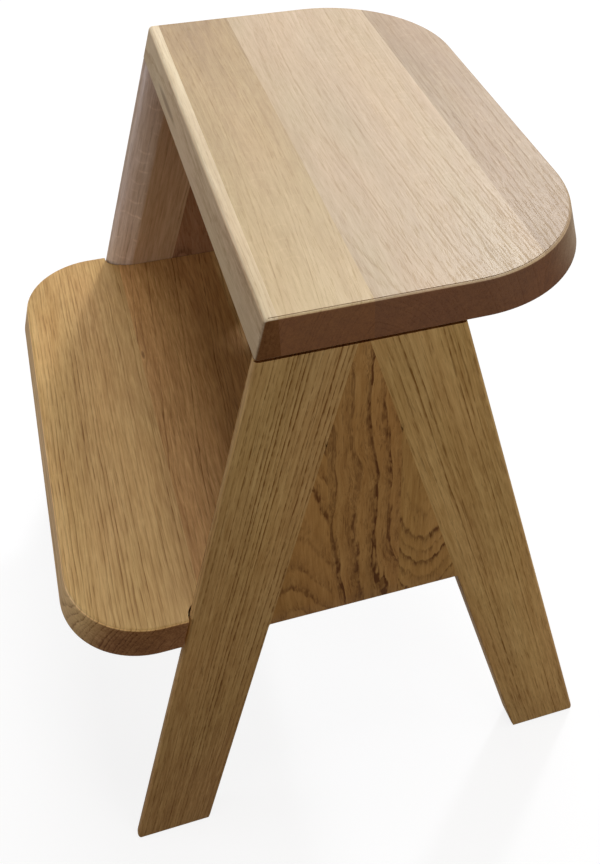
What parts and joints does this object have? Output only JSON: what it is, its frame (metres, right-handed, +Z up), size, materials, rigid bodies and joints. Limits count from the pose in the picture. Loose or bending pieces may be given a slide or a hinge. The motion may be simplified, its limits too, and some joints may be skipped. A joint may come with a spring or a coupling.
{
  "type": "side table stool",
  "caption": "Oak side table stool: a seat with round rear corners over a lower step with round front corners, on splayed A-shaped side frames with infill panels.",
  "frame": {"origin": "on the floor, under the centre of the stool's outline", "axes": "+X to the right across the width, +Y to the rear with the step at the front, +Z up"},
  "size_m": [0.4482, 0.3819, 0.45],
  "materials": {
    "seat_oak": "clear matt oil",
    "step_oak": "clear matt oil",
    "frame_oak": "clear matt oil",
    "joint_beech": "unfinished"
  },
  "bodies": {
    "root": {"right_front_leg": "frame_oak", "right_rear_leg": "frame_oak", "right_infill_front": "frame_oak", "right_infill_middle": "frame_oak", "right_infill_rear": "frame_oak", "left_front_leg": "frame_oak", "left_rear_leg": "frame_oak", "left_infill_front": "frame_oak", "left_infill_middle": "frame_oak", "left_infill_rear": "frame_oak", "right_front_tenons": "joint_beech", "right_rear_tenons": "joint_beech", "right_seat_dowels": "joint_beech", "right_step_dowels": "joint_beech", "left_front_tenons": "joint_beech", "left_rear_tenons": "joint_beech", "left_seat_dowels": "joint_beech", "left_step_dowels": "joint_beech", "seat_front_strip": "seat_oak", "seat_front_stave": "seat_oak", "seat_middle_stave": "seat_oak", "seat_rear_stave": "seat_oak", "step_front_stave": "step_oak", "step_middle_stave": "step_oak", "step_rear_stave": "step_oak"}
  },
  "joints": []
}
